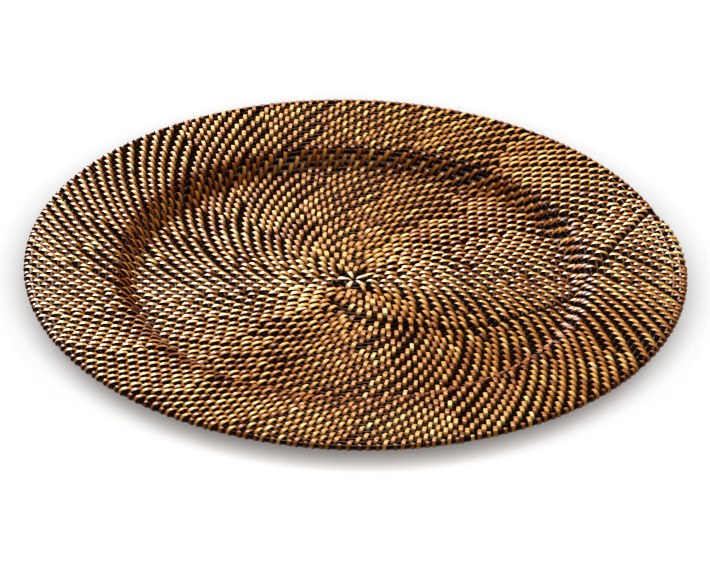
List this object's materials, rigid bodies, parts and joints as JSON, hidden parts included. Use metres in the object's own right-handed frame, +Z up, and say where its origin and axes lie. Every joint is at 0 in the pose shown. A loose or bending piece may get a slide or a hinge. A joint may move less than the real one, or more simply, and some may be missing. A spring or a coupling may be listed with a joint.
{
  "type": "charger plate",
  "caption": "Round charger plate of coiled cane: flat recessed well, short steep wall and wide rim, one spiral of core cane bound by leaning stitches of split cane.",
  "frame": {"origin": "centre of the plate, on the surface that it stands on", "axes": "+Z up out of the well; +X and +Y across the plate, with +Y away from the viewer and the end of the spiral on the +X side"},
  "size_m": [0.3298, 0.3282, 0.0168],
  "materials": {
    "core_cane": "glossy varnish over dark brown cane",
    "pale_cane": "glossy varnish over pale split cane",
    "honey_cane": "glossy varnish over honey-coloured split cane",
    "tan_cane": "glossy varnish over tan split cane",
    "red_cane": "glossy varnish over reddish brown split cane"
  },
  "bodies": {
    "root": {"centre_core": "core_cane", "well_core_1": "core_cane", "well_core_2": "core_cane", "well_core_3": "core_cane", "wall_core": "core_cane", "rim_core_1": "core_cane", "rim_core_2": "core_cane", "edge_core": "core_cane", "centre_star": "pale_cane", "well_stitches_1": "honey_cane", "well_stitches_2": "honey_cane", "well_stitches_3": "tan_cane", "well_stitches_4": "honey_cane", "well_stitches_5": "red_cane", "wall_stitches_1": "tan_cane", "wall_stitches_2": "honey_cane", "rim_stitches_1": "honey_cane", "rim_stitches_2": "red_cane", "rim_stitches_3": "honey_cane", "rim_stitches_4": "tan_cane", "rim_stitches_5": "tan_cane", "edge_wraps": "red_cane", "base_stitches_1": "tan_cane", "base_stitches_2": "tan_cane", "base_stitches_3": "tan_cane", "foot_stitches": "red_cane"}
  },
  "joints": []
}
